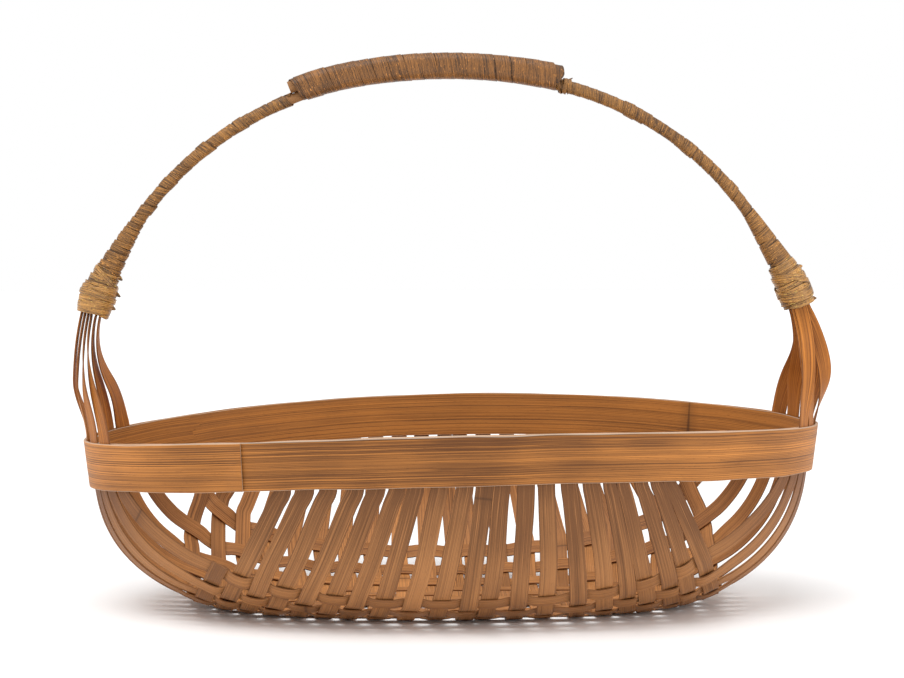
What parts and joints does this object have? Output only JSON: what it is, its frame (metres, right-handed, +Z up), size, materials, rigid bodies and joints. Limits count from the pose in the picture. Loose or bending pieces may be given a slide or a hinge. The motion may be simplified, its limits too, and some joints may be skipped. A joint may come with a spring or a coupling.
{
  "type": "bamboo basket",
  "caption": "Oval split-bamboo carrying basket: a plain-woven bowl held between bent rim bands, with a fixed rattan-bound arch handle over its length.",
  "frame": {"origin": "on the resting plane, under the middle of the oval rim", "axes": "+Z up; +X along the basket's length, towards the end whose rim is slightly higher; +Y across it, towards the side where the inner rim band overlaps itself"},
  "size_m": [0.4126, 0.244, 0.3015],
  "materials": {
    "cross_bamboo": "aged split bamboo, waxy skin, satin",
    "long_bamboo": "aged split bamboo, darker honey brown, satin",
    "rim_bamboo": "wide bent bamboo band with fine long grain, semi-gloss",
    "handle_bamboo": "split bamboo, orange tan, satin",
    "grip_rattan": "close winding of split rattan, dark golden brown, semi-gloss",
    "wrap_rattan": "winding of split rattan, olive tan, semi-gloss",
    "knot_rattan": "crossed binding of split rattan, golden tan, semi-gloss",
    "core_bamboo": "plain split bamboo under the binding, matt"
  },
  "bodies": {
    "root": {"outer_rim_band": "rim_bamboo", "inner_rim_band": "rim_bamboo", "arch_core": "core_bamboo", "grip_wrap": "grip_rattan", "grip_pad": "core_bamboo", "cross_strip_01": "cross_bamboo", "cross_strip_02": "cross_bamboo", "cross_strip_03": "cross_bamboo", "cross_strip_04": "cross_bamboo", "cross_strip_05": "cross_bamboo", "cross_strip_06": "cross_bamboo", "cross_strip_07": "cross_bamboo", "cross_strip_08": "cross_bamboo", "cross_strip_09": "cross_bamboo", "cross_strip_10": "cross_bamboo", "cross_strip_11": "cross_bamboo", "cross_strip_12": "cross_bamboo", "cross_strip_13": "cross_bamboo", "cross_strip_14": "cross_bamboo", "cross_strip_15": "cross_bamboo", "cross_strip_16": "cross_bamboo", "cross_strip_17": "cross_bamboo", "cross_strip_18": "cross_bamboo", "cross_strip_19": "cross_bamboo", "cross_strip_20": "cross_bamboo", "cross_strip_21": "cross_bamboo", "long_strip_01": "long_bamboo", "long_strip_02": "long_bamboo", "long_strip_03": "long_bamboo", "long_strip_04": "long_bamboo", "long_strip_05": "long_bamboo", "long_strip_06": "long_bamboo", "long_strip_07": "long_bamboo", "long_strip_08": "long_bamboo", "long_strip_09": "long_bamboo", "long_strip_10": "long_bamboo", "long_strip_11": "long_bamboo", "long_strip_12": "long_bamboo", "knot_left": "knot_rattan", "taper_wrap_left": "wrap_rattan", "arch_wrap_left": "wrap_rattan", "handle_strip_left_1": "handle_bamboo", "handle_strip_left_2": "handle_bamboo", "handle_strip_left_3": "handle_bamboo", "handle_strip_left_4": "handle_bamboo", "handle_strip_left_5": "handle_bamboo", "handle_strip_left_6": "handle_bamboo", "knot_right": "knot_rattan", "taper_wrap_right": "wrap_rattan", "arch_wrap_right": "wrap_rattan", "handle_strip_right_1": "handle_bamboo", "handle_strip_right_2": "handle_bamboo", "handle_strip_right_3": "handle_bamboo", "handle_strip_right_4": "handle_bamboo", "handle_strip_right_5": "handle_bamboo", "handle_strip_right_6": "handle_bamboo"}
  },
  "joints": []
}
